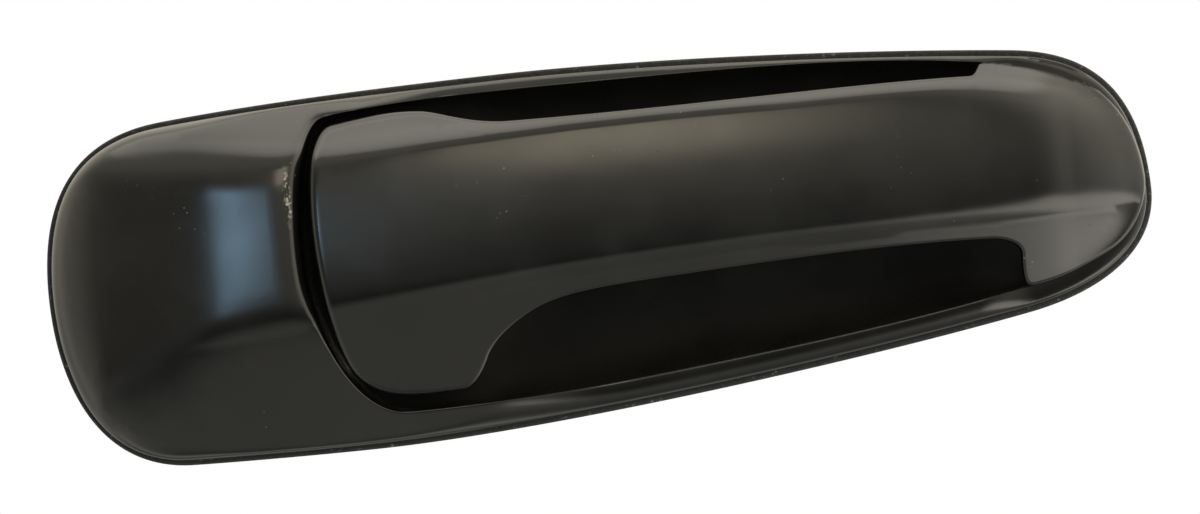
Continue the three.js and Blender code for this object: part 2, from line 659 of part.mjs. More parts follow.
add('bellcrank', bellcrank(), 'zinc');
add('bellcrank_bush_left', ring(PIVOT.r + FIT, 3, -69.2, -61, 'x', [0, PIVOT.y, PIVOT.z]), 'acetal');
add('bellcrank_bush_right', ring(PIVOT.r + FIT, 3, -59, -50, 'x', [0, PIVOT.y, PIVOT.z]), 'acetal');
add('counterweight', block(-68.4, -57.6, PIVOT.y - 3, PIVOT.y + 13, -36.8, -30.9), 'zinc');
add('rod_clip', rodClip(), 'acetal');

export default group;
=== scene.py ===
"""Outside pull handle of a car door, right-hand side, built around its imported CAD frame.

+X runs along the grip to its hinge end, -Y is outboard, +Z is up. Outlines are in millimetres.
"""

import json
import math

import bmesh
import bpy
import numpy as np
from mathutils import Matrix, Vector
from mathutils.geometry import delaunay_2d_cdt

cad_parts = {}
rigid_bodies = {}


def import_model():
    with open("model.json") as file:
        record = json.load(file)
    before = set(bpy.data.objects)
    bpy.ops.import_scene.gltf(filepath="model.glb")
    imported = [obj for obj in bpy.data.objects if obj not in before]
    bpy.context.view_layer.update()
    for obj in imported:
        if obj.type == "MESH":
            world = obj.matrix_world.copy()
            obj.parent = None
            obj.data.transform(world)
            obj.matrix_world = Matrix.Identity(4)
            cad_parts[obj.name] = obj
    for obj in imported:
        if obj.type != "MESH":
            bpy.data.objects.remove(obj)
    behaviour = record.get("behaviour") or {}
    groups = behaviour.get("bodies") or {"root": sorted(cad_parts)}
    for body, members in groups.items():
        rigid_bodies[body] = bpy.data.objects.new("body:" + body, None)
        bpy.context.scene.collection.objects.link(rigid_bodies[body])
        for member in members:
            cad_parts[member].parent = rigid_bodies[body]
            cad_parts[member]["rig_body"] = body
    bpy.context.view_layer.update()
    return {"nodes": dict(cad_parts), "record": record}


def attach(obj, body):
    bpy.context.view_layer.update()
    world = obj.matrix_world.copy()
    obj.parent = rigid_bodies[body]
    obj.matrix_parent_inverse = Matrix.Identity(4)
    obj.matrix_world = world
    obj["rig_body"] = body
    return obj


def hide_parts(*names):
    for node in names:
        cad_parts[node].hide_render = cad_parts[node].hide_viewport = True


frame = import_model()
MM = 0.001

# ---- driving dimensions, as in the CAD ----
GASKET_T = 1.8
GASKET_W = 1.8
BEZEL_INSET = 1.3
FIT = 0.3
RIM_H = 3.4
HIGH_SLOPE = 1.3
LOW_SLOPE = 0.46

# Closed outlines seen from outboard: x, z, heading in degrees, pull in, pull out.
GASKET_LINE = [
    (-125.4, 3.3, 90, 22, 21),
    (-96.4, 40.4, 5, 21, 23.5),
    (-20.3, 43.2, 0.5, 24.5, 35),
    (97.5, 36.5, -6.4, 33.5, 18),
    (126, 2.6, -89, 22.3, 15),
    (95.7, -23.1, 190, 16.3, 39),
    (-55, -38.5, 180, 40, 14.7),
    (-96.5, -37.8, 178, 11, 20.4),
]
MOUTH_LINE = [
    (-66.2, 3, 93, 12, 14),
    (-59, 37, 12, 5, 12),
    (0, 39, -0.5, 25, 35),
    (96, 33, -12, 28, 10),
    (120.6, 6, -92, 17, 9),
    (98, -16.4, 192, 8, 25),
    (0, -28.9, 185, 38, 15),
    (-47, -30.4, 176, 6, 12),
]
GRIP_LINE = [
    (-63, 5, 94, 12, 12),
    (-57, 35.4, 9, 6, 8),
    (-36.5, 36.3, -8, 6, 4),
    (-17, 32, -1.5, 9, 40),
    (87, 31.4, -2, 30, 1.6),
    (90.4, 34.2, 8, 1.4, 5),
    (106, 31.6, -21, 7, 10),
    (124.3, 5, -88, 14.5, 6),
    (115, -10.8, 207, 6, 7),
    (96.4, -17, 185, 6, 1.6),
    (94.6, -9.5, 87, 5, 2.2),
    (88, -5.6, 177, 3, 20),
    (20, -6.2, 182.5, 28, 16),
    (-14, -9.8, 200, 8, 5),
    (-27.2, -20, 246, 4.5, 3),
    (-33.5, -26.8, 181, 2.5, 8),
    (-57.2, -21.4, 128, 9, 5),
]

# Smooth tracks along the handle: x, value.
CREASE_HIGH = [
    (-126, 29), (-95, 31), (-64, 27.6), (-30, 28.6), (0, 29.5), (40, 29.3), (90, 27.6), (126, 18),
]
CREASE_LOW = [(-126, -6), (-95, -7), (-64, -5), (-30, -2.4), (0, -0.6), (40, 0.8), (126, 1.4)]
FACE = [
    (-126, 23), (-95, 25.6), (-66, 26.6), (-35, 26.6), (0, 25.4), (40, 23), (80, 19), (108, 15),
    (126, 12),
]
SPLIT = [(-66, 7), (-45, 7.6), (-20, 13.2), (0, 14), (60, 12), (86, 8.2), (102, 6.2), (126, 5.4)]
BACK = [(-66, 4.4), (-45, 5), (-20, 10.2), (0, 11), (60, 9), (92, 6)]
CREASE_SOFT = [
    (-126, 15), (-100, 11), (-82, 5), (-66, 2.6), (-40, 1.4), (0, 1), (80, 1.4), (104, 4), (126, 8),
]
CROWN = [(-126, 1.0), (-90, 1.0), (-66, 0.7), (-40, 0.7), (-10, 1.1), (126, 1.1)]
CROWN_CAP = 1.6

# Rim round the bezel. At the nose it rises less.
RIM_RISE = 3.2
RIM_RUN = 5
NOSE_RIM_X = (84, 98)
NOSE_RIM_DROP = 2

# Dome. It fades into the rim along x, later along its lower edge, and its left end bows.
DOME_H = 20
DOME_RUN = 19
DOME_LIFT = 2.5
DOME_BLEND = 5
DOME_FADE_START = -72
DOME_FADE_END = -28
DOME_FADE_LATER = 34
DOME_LOW_Z = (-26, 0)
DOME_LEFT = -124.2
DOME_LEFT_BOW = 0.008
DOME_LEFT_Z = 3
DOME_SPAN = 60
DOME_SPAN_EDGE = 22
DOME_SPAN_Z = 8
DOME_SPAN_HALF = 22

# How the bezel's skin meets the shared surface, more softly at the left, and its least height.
SKIN_BLEND = 1.2
LEFT_BLEND = 5
LEFT_BLEND_RUN = 6
LEFT_BLEND_X = (-112, -84)
SKIN_LEAST = RIM_H - 0.2

# Radii of the rounded edges. The lip's is larger on the dome, the grip's at its free end.
BEZEL_EDGE_R = 0.8
LIP_R = 0.45
LIP_R_DOME = 1.95
LIP_FADE_X = (-64, -50)
LIP_FADE_Z = (-16, 2)
GRIP_R = 0.7
GRIP_R_LEFT = 1.1
GRIP_R_FADE_X = (-60, -20)
LINER_R = 1.4
GASKET_R = 0.7

# Nose of the grip, which turns down towards its edge.
NOSE_X = (86, 108)
TIP_X = (92, 124)
NOSE_EDGE_H = 7
NOSE_RISE = 13
NOSE_RUN = 16
CLEAR_OF_NOSE = 30
GRIP_BLEND = 0.8
TIP_BLEND = 6
TIP_BLEND_RUN = 5
GRIP_LEAST = 0.4

# Back of the liner: nearly flat behind the wide lobe, hollowed for fingers along the bar.
LOBE_END_X = -25
LOBE_MIDDLE, LOBE_HALF = 5.0, 31.0
BAR_MIDDLE, BAR_HALF = 12.5, 19.0
BAR_FADE_X = (-40, -15)
BAR_HOLLOW = 2.2
LINER_END_X = 84

# Rows of mesh points at these distances from each crease, and rings at these depths from each edge.
CREASE_ROWS = [-2.6, -1.4, -0.6, 0, 0.6, 1.4, 2.6]
CREASE_MARGIN = 3.4
FLANK_START = 4
LOW_FLANK = 50
HIGH_FLANK = 30
FACE_WIDTH = 24
EDGE_RINGS = (0.12, 0.35, 0.7, 1.15, 1.7, 2.4)
GASKET_RINGS = (0.12, 0.35, 0.7, 1.2)

# Fineness of the meshes, in millimetres where it is a length.
CURVE_STEPS = 80
NORMAL_STEP = 0.03
SIDE_LEVELS = 3
INSET_KEEP = 0.96
RING_KEEP = 0.97
LEAST_AREA = 1e-7
CHUNK = 1500

# Finish of the small pieces.
WELD = 0.002
FLAT_ANGLE = math.radians(0.6)
SHARP_ANGLE = math.radians(38)
BEVEL = 0.25

# Pale chips on the dome's lip, partly real paint wear and partly a painted highlight along the lip:
# its centre and how far it reaches along x, y and z.
LIP_WEAR_AND_HIGHLIGHT = (-67.9, -25.4, 20)
LIP_WEAR_AND_HIGHLIGHT_REACH = (1.1, 4, 8)


# ---- curves and fields ----
def track(knots, x):
    """Smooth curve through knots of x and value, level past its ends."""
    xs = np.array([k[0] for k in knots], float)
    vs = np.array([k[1] for k in knots], float)
    lo = np.maximum(np.arange(len(xs)) - 1, 0)
    hi = np.minimum(np.arange(len(xs)) + 1, len(xs) - 1)
    slope = (vs[hi] - vs[lo]) / (xs[hi] - xs[lo])
    i = np.clip(np.searchsorted(xs, x, side="left") - 1, 0, len(xs) - 2)
    w = xs[i + 1] - xs[i]
    t = np.clip((x - xs[i]) / w, 0, 1)
    return (
        (2 * t**3 - 3 * t**2 + 1) * vs[i]
        + (t**3 - 2 * t**2 + t) * w * slope[i]
        + (3 * t**2 - 2 * t**3) * vs[i + 1]
        + (t**3 - t**2) * w * slope[i + 1]
    )


def line_points(knots, spacing):
    """Evenly spaced points on the closed Bezier outline through its knots."""
    out = []
    for a, b in zip(knots, knots[1:] + knots[:1]):
        p0, p1 = np.array(a[:2], float), np.array(b[:2], float)
        ta, tb = math.radians(a[2]), math.radians(b[2])
        c0 = p0 + a[4] * np.array([math.cos(ta), math.sin(ta)])
        c1 = p1 - b[3] * np.array([math.cos(tb), math.sin(tb)])
        t = np.linspace(0, 1, CURVE_STEPS, endpoint=False)[:, None]
        u = 1 - t
        out.append(u**3 * p0 + 3 * u**2 * t * c0 + 3 * u * t**2 * c1 + t**3 * p1)
    return resample(np.concatenate(out), spacing)


def resample(points, spacing):
    loop = np.vstack([points, points[:1]])
    run = np.concatenate([[0], np.cumsum(np.linalg.norm(np.diff(loop, axis=0), axis=1))])
    at = np.linspace(0, run[-1], max(8, int(run[-1] / spacing)), endpoint=False)
    return np.stack([np.interp(at, run, loop[:, 0]), np.interp(at, run, loop[:, 1])], 1)


def inward(points):
    """Unit inward normals of a clockwise outline."""
    t = np.roll(points, -1, 0) - np.roll(points, 1, 0)
    t /= np.linalg.norm(t, axis=1, keepdims=True)
    return np.stack([t[:, 1], -t[:, 0]], 1)


def query(outline, pts):
    """Signed distance of each point to an outline, positive inside, and its gradient."""
    a, b = outline, np.roll(outline, -1, 0)
    e = b - a
    ee = (e**2).sum(1)
    dist = np.empty(len(pts))
    grad = np.empty((len(pts), 2))
    for s in range(0, len(pts), CHUNK):
        p = pts[s : s + CHUNK]
        px, pz = p[:, 0:1] - a[:, 0], p[:, 1:2] - a[:, 1]
        t = np.clip((px * e[:, 0] + pz * e[:, 1]) / ee, 0, 1)
        qx, qz = px - t * e[:, 0], pz - t * e[:, 1]
        d2 = qx * qx + qz * qz
        k = d2.argmin(1)
        rows = np.arange(len(p))
        d = np.sqrt(d2[rows, k])
        crossing = (a[:, 1] > p[:, 1:2]) != (b[:, 1] > p[:, 1:2])
        with np.errstate(divide="ignore", invalid="ignore"):
            cut = e[:, 0] * pz / e[:, 1]
        odd = (crossing & (px < cut)).sum(1) % 2 == 1
        sign = np.where(odd, 1.0, -1.0)
        away = np.stack([qx[rows, k], qz[rows, k]], 1) / np.maximum(d, 1e-9)[:, None]
        dist[s : s + CHUNK] = d * sign
        grad[s : s + CHUNK] = away * sign[:, None]
    return dist, grad


def depth_inside(outline, pts):
    return query(outline, pts)[0]


def inset(outline, d):
    """Outline moved inward by d, without the points that fold over."""
    moved = outline + inward(outline) * d
    keep = np.abs(depth_inside(outline, moved)) > INSET_KEEP * abs(d)
    return moved[keep]


def quarter(d, run):
    """Quarter circle from 0 at the edge to 1 at a depth of run."""
    t = 1 - np.clip(d / run, 0, 1)
    return np.sqrt(np.maximum(0, 1 - t * t))


def rounding(d, r):
    """How far a rounded edge of radius r falls at a depth d inside it."""
    return r * (1 - quarter(d, r))


def smoothstep(x, a, b):
    t = np.clip((x - a) / (b - a), 0, 1)
    return t * t * (3 - 2 * t)


def soft_min(a, b, k):
    """min(a, b) with its corner rounded."""
    return 0.5 * (a + b - np.sqrt((a - b) ** 2 + k * k))


def soft_rise(t, k):
    """max(t, 0) with its corner rounded."""
    return 0.5 * (t + np.sqrt(t * t + k * k))


def master_height(p):
    """Height of the shared surface of dome and grip over the door skin."""
    x, z = p[:, 0], p[:, 1]
    soft = track(CREASE_SOFT, x)
    high, low = track(CREASE_HIGH, x), track(CREASE_LOW, x)
    across = (z - 0.5 * (high + low)) / (0.5 * (high - low))
    return (
        track(FACE, x)
        - HIGH_SLOPE * soft_rise(z - high, soft)
        - LOW_SLOPE * soft_rise(low - z, soft)
        + 0.25 * (HIGH_SLOPE + LOW_SLOPE) * soft
        - track(CROWN, x) * np.minimum(across**2, CROWN_CAP)
    )


gasket_line = line_points(GASKET_LINE, 1.0)
bezel_line = resample(inset(gasket_line, BEZEL_INSET), 1.0)
mouth_line = line_points(MOUTH_LINE, 0.8)
grip_line = line_points(GRIP_LINE, 0.6)
liner_line = grip_line[grip_line[:, 0] < LINER_END_X]


def bezel_height(p, outer, mouth):
    """Dome, rim and the rounded lip that falls into the recess."""
    x, z = p[:, 0], p[:, 1]
    fade_end = DOME_FADE_END + DOME_FADE_LATER * (1 - smoothstep(z, *DOME_LOW_Z))
    dome = 1 - smoothstep(x, DOME_FADE_START, fade_end)
    rise = RIM_RISE - NOSE_RIM_DROP * smoothstep(x, *NOSE_RIM_X)
    rim = RIM_H + rise * quarter(outer, RIM_RUN)
    left_end = x - DOME_LEFT - DOME_LEFT_BOW * (z - DOME_LEFT_Z) ** 2
    across = np.exp(-(((z - DOME_SPAN_Z) / DOME_SPAN_HALF) ** 4))
    span = DOME_SPAN_EDGE + (DOME_SPAN - DOME_SPAN_EDGE) * across
    from_edge, from_end = DOME_H * quarter(outer, DOME_RUN), DOME_H * quarter(left_end, span)
    bulge = DOME_LIFT + soft_min(from_edge, from_end, DOME_BLEND)
    left = 1 - smoothstep(x, *LEFT_BLEND_X)
    blend = SKIN_BLEND + LEFT_BLEND * left * quarter(outer, LEFT_BLEND_RUN)
    h = np.maximum(soft_min(master_height(p), rim + dome * bulge, blend), SKIN_LEAST)
    lip = LIP_R + LIP_R_DOME * (1 - smoothstep(x, *LIP_FADE_X)) * smoothstep(z, *LIP_FADE_Z)
    return h - rounding(-mouth, lip) - rounding(outer, BEZEL_EDGE_R)


def grip_height(p, outer):
    """Outer face of the grip, with its rounded edge and lowered nose."""
    x = p[:, 0]
    nose, tip = smoothstep(x, *NOSE_X), smoothstep(x, *TIP_X)
    edge = NOSE_EDGE_H + NOSE_RISE * quarter(outer, NOSE_RUN) + CLEAR_OF_NOSE * (1 - nose)
    blend = GRIP_BLEND + TIP_BLEND * tip * quarter(outer, TIP_BLEND_RUN)
    r = GRIP_R + GRIP_R_LEFT * (1 - smoothstep(x, *GRIP_R_FADE_X))
    h = soft_min(master_height(p), edge, blend)
    return np.maximum(h - rounding(outer, r), track(SPLIT, x) + GRIP_LEAST)


def grip_split(p, outer):
    """Plane where shell and liner of the grip meet."""
    return track(SPLIT, p[:, 0])


def liner_front(p, outer):
    return grip_split(p, outer) - FIT


def liner_back(p, outer):
    x, z = p[:, 0], p[:, 1]
    lobe = x < LOBE_END_X
    middle = np.where(lobe, LOBE_MIDDLE, BAR_MIDDLE)
    half = np.where(lobe, LOBE_HALF, BAR_HALF)
    t = np.minimum(1, np.abs(z - middle) / half)
    bar = smoothstep(x, *BAR_FADE_X)
    return track(BACK, x) + BAR_HOLLOW * bar * t**2 + rounding(outer, LINER_R)


def gasket_front(p, outer, inner):
    return GASKET_T - rounding(outer, GASKET_R)


def level(height):
    return lambda p, *lines: height + 0 * p[:, 0]


# ---- mesh building ----
def field_normals(height, pts, near_lines, sign):
    """Normals of a height field, outboard when sign is 1 and inboard when it is -1."""
    e = NORMAL_STEP
    slopes = []
    for k in (0, 1):
        step = np.eye(2)[k] * e
        ahead = height(pts + step, *[d + g[:, k] * e for d, g in near_lines])
        behind = height(pts - step, *[d - g[:, k] * e for d, g in near_lines])
        slopes.append((ahead - behind) / (2 * e))
    hx, hz = slopes
    n = np.stack([-hx, -np.ones(len(pts)), -hz], 1) * sign
    return n / np.linalg.norm(n, axis=1, keepdims=True)


def plan_mesh(outer, holes, rings, spacing):
    """Triangles over the region between outlines, dense near every edge and along the creases."""
    loops = [outer] + list(holes)

    def room(p):
        d = depth_inside(outer, p)
        for h in holes:
            d = np.minimum(d, -depth_inside(h, p))
        return d

    groups = []
    for k, loop in enumerate(loops):
        sign = 1 if k == 0 else -1
        for r in rings:
            step = max(0.5, 0.6 * r)
            ring = resample(loop, step) if r > 1 else loop
            moved = ring + inward(ring) * r * sign
            groups.append(moved[room(moved) > RING_KEEP * r])
    lo, hi = outer.min(0), outer.max(0)
    xs = np.arange(lo[0], hi[0], spacing)
    rows = []
    low, high = track(CREASE_LOW, xs), track(CREASE_HIGH, xs)
    for off in list(np.arange(-LOW_FLANK, -FLANK_START, spacing)) + CREASE_ROWS:
        rows.append(np.stack([xs, low + off], 1))
    for off in CREASE_ROWS + list(np.arange(FLANK_START, HIGH_FLANK, spacing)):
        rows.append(np.stack([xs, high + off], 1))
    low, high = low + CREASE_MARGIN, high - CREASE_MARGIN
    for t in np.linspace(0, 1, int(FACE_WIDTH / spacing))[1:-1]:
        rows.append(np.stack([xs, low + (high - low) * t], 1))
    grid = np.concatenate(rows)
    groups.append(grid[room(grid) > rings[-1] + 0.45 * spacing])
    pts = np.concatenate(loops + groups)
    edges = []
    start = 0
    for loop in loops:
        n = len(loop)
        edges += [(start + i, start + (i + 1) % n) for i in range(n)]
        start += n
    verts, _, faces, _, _, _ = delaunay_2d_cdt([Vector(p) for p in pts], edges, [], 0, 1e-5)
    verts = np.array([(v.x, v.y) for v in verts])
    faces = np.array([f for f in faces if len(f) == 3])
    centre = verts[faces].mean(1)
    faces = faces[room(centre) > 0]
    a, b, c = (verts[faces[:, i]] for i in range(3))
    area = (b[:, 0] - a[:, 0]) * (c[:, 1] - a[:, 1]) - (b[:, 1] - a[:, 1]) * (c[:, 0] - a[:, 0])
    solid = np.abs(area) > LEAST_AREA
    faces, area = faces[solid], area[solid]
    faces[area < 0] = faces[area < 0][:, ::-1]
    return verts, faces, loops


def plate(name, outer, holes, top, bottom, rings=EDGE_RINGS, spacing=1.7):
    """Closed piece between the fields y = -top and y = -bottom over a region with rounded edges."""
    pts, faces, loops = plan_mesh(outer, holes, rings, spacing)
    n = len(pts)
    counts = [len(loop) for loop in loops]
    total = sum(counts)
    edge = pts[:total]
    outward = np.concatenate([inward(loop) * (-1 if k == 0 else 1) for k, loop in enumerate(loops)])
    side = np.stack([outward[:, 0], np.zeros(total), outward[:, 1]], 1)
    near_lines = [query(loop, pts) for loop in loops]
    depths = [d for d, _ in near_lines]
    top_y, bottom_y = -top(pts, *depths), -bottom(pts, *depths)
    top_n = field_normals(top, pts, near_lines, 1)
    bottom_n = field_normals(bottom, pts, near_lines, -1)
    top_n[:total] = side
    co = [np.stack([pts[:, 0], top_y, pts[:, 1]], 1)]
    no = [top_n]
    for k in range(1, SIDE_LEVELS + 1):
        y = top_y[:total] + (bottom_y[:total] - top_y[:total]) * k / SIDE_LEVELS
        co.append(np.stack([edge[:, 0], y, edge[:, 1]], 1))
        no.append(side)
    co.append(np.stack([pts[:, 0], bottom_y, pts[:, 1]], 1))
    no.append(bottom_n)
    polys = [tuple(f) for f in faces]
    starts = [0] + [n + total * k for k in range(SIDE_LEVELS)]
    for a0, b0 in zip(starts, starts[1:]):
        s = 0
        for c in counts:
            for i in range(c):
                j = (i + 1) % c
                polys.append((a0 + s + i, b0 + s + i, b0 + s + j, a0 + s + j))
            s += c
    base = n + total * SIDE_LEVELS
    polys += [tuple(base + v for v in f[::-1]) for f in faces]
    return mesh_piece(name, np.concatenate(co), polys, np.concatenate(no))


def mesh_piece(name, co, polys, normals):
    mesh = bpy.data.meshes.new(name)
    mesh.from_pydata((co * MM).tolist(), [], polys)
    mesh.shade_smooth()
    mesh.normals_split_custom_set_from_vertices(normals.tolist())
    mesh.update()
    obj = bpy.data.objects.new(name, mesh)
    bpy.context.scene.collection.objects.link(obj)
    return obj


def finished(node, name):
    """A CAD node's solid with its flats merged, its edges broken and its round faces smooth."""
    bm = bmesh.new()
    bm.from_mesh(frame["nodes"][node].data)
    bmesh.ops.remove_doubles(bm, verts=bm.verts, dist=WELD * MM)
    bmesh.ops.dissolve_limit(
        bm, angle_limit=FLAT_ANGLE, verts=bm.verts, edges=bm.edges, delimit={"NORMAL"}
    )
    mesh = bpy.data.meshes.new(name)
    bm.to_mesh(mesh)
    bm.free()
    obj = bpy.data.objects.new(name, mesh)
    bpy.context.scene.collection.objects.link(obj)
    mesh.shade_smooth()
    mesh.set_sharp_from_angle(angle=SHARP_ANGLE)
    mod = obj.modifiers.new("edges", "BEVEL")
    mod.width = BEVEL * MM
    mod.segments = 2
    mod.limit_method = "ANGLE"
    mod.angle_limit = SHARP_ANGLE
    mod.harden_normals = True
    return obj


# ---- materials ----
class Surface:
    """A node material with a Principled shader and short helpers."""

    def __init__(self, name, color, roughness, metallic=0.0):
        self.mat = bpy.data.materials.new(name)
        self.mat.use_nodes = True
        self.nodes = self.mat.node_tree.nodes
        self.links = self.mat.node_tree.links
        self.shader = self.nodes["Principled BSDF"]
        self.shader.inputs["Base Color"].default_value = (*color, 1)
        self.shader.inputs["Roughness"].default_value = roughness
        self.shader.inputs["Metallic"].default_value = metallic
        self.coord = self.nodes.new("ShaderNodeTexCoord").outputs["Object"]

    def plug(self, value, socket):
        if hasattr(value, "links"):
            self.links.new(value, socket)
        else:
            socket.default_value = value

    def noise(self, scale, detail=3, rough=0.5, vector=None):
        node = self.nodes.new("ShaderNodeTexNoise")
        node.inputs["Scale"].default_value = scale
        node.inputs["Detail"].default_value = detail
        node.inputs["Roughness"].default_value = rough
        self.links.new(vector or self.coord, node.inputs["Vector"])
        return node.outputs["Fac"]

    def cells(self, scale):
        node = self.nodes.new("ShaderNodeTexVoronoi")
        node.inputs["Scale"].default_value = scale
        self.links.new(self.coord, node.inputs["Vector"])
        return node.outputs["Distance"]

    def stretched(self, scale, rotation=(0, 0, 0)):
        """Object coordinates with each axis multiplied by its scale."""
        node = self.nodes.new("ShaderNodeMapping")
        node.inputs["Scale"].default_value = scale
        node.inputs["Rotation"].default_value = rotation
        self.links.new(self.coord, node.inputs["Vector"])
        return node.outputs["Vector"]

    def ramp(self, value, low, high, a=0.0, b=1.0):
        node = self.nodes.new("ShaderNodeMapRange")
        node.interpolation_type = "SMOOTHSTEP"
        self.links.new(value, node.inputs["Value"])
        for key, v in (("From Min", low), ("From Max", high), ("To Min", a), ("To Max", b)):
            node.inputs[key].default_value = v
        return node.outputs["Result"]

    def math(self, op, a, b):
        node = self.nodes.new("ShaderNodeMath")
        node.operation = op
        self.plug(a, node.inputs[0])
        self.plug(b, node.inputs[1])
        return node.outputs[0]

    def mix(self, fac, a, b):
        node = self.nodes.new("ShaderNodeMix")
        node.data_type = "RGBA"
        self.plug(fac, node.inputs["Factor"])
        self.plug(a if hasattr(a, "links") else (*a, 1), node.inputs["A"])
        self.plug(b if hasattr(b, "links") else (*b, 1), node.inputs["B"])
        return node.outputs["Result"]

    def bump(self, height, distance, strength, below=None):
        node = self.nodes.new("ShaderNodeBump")
        node.inputs["Strength"].default_value = strength
        node.inputs["Distance"].default_value = distance
        self.links.new(height, node.inputs["Height"])
        if below is not None:
            self.links.new(below, node.inputs["Normal"])
        return node.outputs["Normal"]

    def set(self, key, value):
        self.plug(value, self.shader.inputs[key])


def near(surface, centre, reach):
    """Mask that is 1 at a point and fades to 0 at its reach along x, y and z, in millimetres."""
    node = surface.nodes.new("ShaderNodeVectorMath")
    node.operation = "DISTANCE"
    surface.links.new(surface.stretched([1 / (r * MM) for r in reach]), node.inputs[0])
    node.inputs[1].default_value = [c / r for c, r in zip(centre, reach)]
    return surface.ramp(node.outputs["Value"], 1, 0.35)


def paint_surface():
    s = Surface("satin_black_paint", (0.009, 0.009, 0.0085), 0.33)
    peel = s.noise(900, 2, 0.5)
    wave = s.noise(120, 2, 0.5)
    grime = s.noise(38, 5, 0.6)
    scratch = s.noise(700, 2, 0.6, s.stretched((0.15, 1, 1), (0, 0.35, 0)))
    fine = s.ramp(scratch, 0.70, 0.76)
    dust = s.math("LESS_THAN", s.cells(520), 0.11)
    dust = s.math("MULTIPLY", dust, s.ramp(s.noise(70, 3), 0.60, 0.70))
    # Pale chips near the dome's lip: partly real paint wear, partly a painted highlight on the lip.
    chips_and_highlight = s.ramp(s.noise(1100, 4, 0.7), 0.48, 0.60)
    chips_and_highlight = s.math("MULTIPLY", chips_and_highlight, near(s, LIP_WEAR_AND_HIGHLIGHT, LIP_WEAR_AND_HIGHLIGHT_REACH))
    coat = s.mix(s.ramp(grime, 0.4, 0.7), (0.004, 0.004, 0.0038), (0.008, 0.008, 0.0074))
    dusty = s.mix(s.math("MULTIPLY", dust, 0.5), coat, (0.2, 0.19, 0.17))
    s.set("Base Color", s.mix(chips_and_highlight, dusty, (0.34, 0.32, 0.25)))
    rough = s.ramp(grime, 0.35, 0.7, 0.20, 0.25)
    s.set("Roughness", s.math("ADD", rough, s.math("MULTIPLY", fine, 0.05)))
    s.set("Normal", s.bump(peel, 0.00001, 0.25, s.bump(wave, 0.00005, 0.12)))
    return s.mat


def rubber_surface():
    s = Surface("gasket_rubber", (0.012, 0.012, 0.012), 0.7)
    grain = s.noise(1500, 2)
    speck = s.ramp(s.noise(900, 4, 0.7), 0.62, 0.72)
    s.set("Base Color", s.mix(speck, (0.012, 0.012, 0.012), (0.16, 0.155, 0.15)))
    s.set("Roughness", s.ramp(grain, 0.3, 0.7, 0.62, 0.85))
    s.set("Normal", s.bump(grain, 0.00005, 0.4))
    return s.mat


def nylon_surface():
    s = Surface("filled_nylon", (0.004, 0.004, 0.004), 0.55)
    s.shader.inputs["Specular IOR Level"].default_value = 0.16
    grain = s.noise(1300, 3)
    cloud = s.noise(60, 3)
    tone = s.ramp(cloud, 0.3, 0.7)
    s.set("Base Color", s.mix(tone, (0.0085, 0.0080, 0.0074), (0.014, 0.0132, 0.012)))
    s.set("Roughness", s.ramp(grain, 0.3, 0.7, 0.42, 0.62))
    s.set("Normal", s.bump(grain, 0.00004, 0.35))
    return s.mat


def acetal_surface():
    s = Surface("acetal", (0.72, 0.70, 0.62), 0.35)
    cloud = s.noise(200, 3)
    s.set("Base Color", s.mix(s.ramp(cloud, 0.3, 0.7), (0.74, 0.72, 0.65), (0.62, 0.59, 0.50)))
    s.set("Roughness", s.ramp(cloud, 0.3, 0.7, 0.3, 0.45))
    s.set("Normal", s.bump(s.noise(1600, 2), 0.00002, 0.3))
    s.shader.inputs["Subsurface Weight"].default_value = 0.08
    s.shader.inputs["Subsurface Radius"].default_value = (0.001, 0.001, 0.0008)
    return s.mat


def zinc_surface():
    s = Surface("zinc_casting", (0.42, 0.41, 0.38), 0.45, 1.0)
    cloud = s.noise(90, 4, 0.6)
    grain = s.noise(1100, 3)
    s.set("Base Color", s.mix(s.ramp(cloud, 0.35, 0.7), (0.46, 0.45, 0.41), (0.30, 0.30, 0.28)))
    s.set("Roughness", s.ramp(grain, 0.3, 0.7, 0.36, 0.58))
    s.set("Normal", s.bump(grain, 0.00004, 0.4))
    return s.mat


def steel_surface():
    s = Surface("plated_steel", (0.55, 0.54, 0.50), 0.3, 1.0)
    tint = s.noise(140, 4, 0.6)
    brushed = s.noise(900, 2, 0.5, s.stretched((1, 0.12, 1)))
    s.set("Base Color", s.mix(s.ramp(tint, 0.35, 0.7), (0.60, 0.58, 0.50), (0.44, 0.45, 0.47)))
    s.set("Roughness", s.ramp(brushed, 0.3, 0.7, 0.2, 0.4))
    s.set("Normal", s.bump(brushed, 0.00002, 0.3))
    return s.mat


LOOKS = {
    "paint": paint_surface(),
    "rubber": rubber_surface(),
    "nylon": nylon_surface(),
    "acetal": acetal_surface(),
    "zinc": zinc_surface(),
    "steel": steel_surface(),
}


def place(obj, body, slot, *nodes):
    """Gives a piece its look and its body, and hides the CAD nodes it stands for."""
    obj.data.materials.append(LOOKS[slot])
    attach(obj, body)
    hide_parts(*nodes)


# ---- pieces ----
seat = GASKET_T + FIT
gasket = plate(
    "gasket_lip", gasket_line, [inset(gasket_line, GASKET_W)],
    gasket_front, level(0), rings=GASKET_RINGS, spacing=3,
)
place(gasket, "housing", "rubber", "gasket")
bezel = plate("bezel_cover", bezel_line, [mouth_line], bezel_height, level(seat))
place(bezel, "housing", "paint", "bezel")
grip = plate("grip_cover", grip_line, [], grip_height, grip_split)
place(grip, "grip", "paint", "grip_outer")
liner = plate("grip_liner", liner_line, [], liner_front, liner_back, spacing=2.4)
place(liner, "grip", "paint", "grip_inner")

# The other pieces are the CAD's own solids, finished.
done = {"gasket", "bezel", "grip_outer", "grip_inner"}
for part in frame["record"]["subparts"]:
    node, slot = part["node"], part["material_slot"]
    if node in done:
        continue
    body = frame["nodes"][node]["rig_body"]
    place(finished(node, node + "_piece"), body, slot, node)

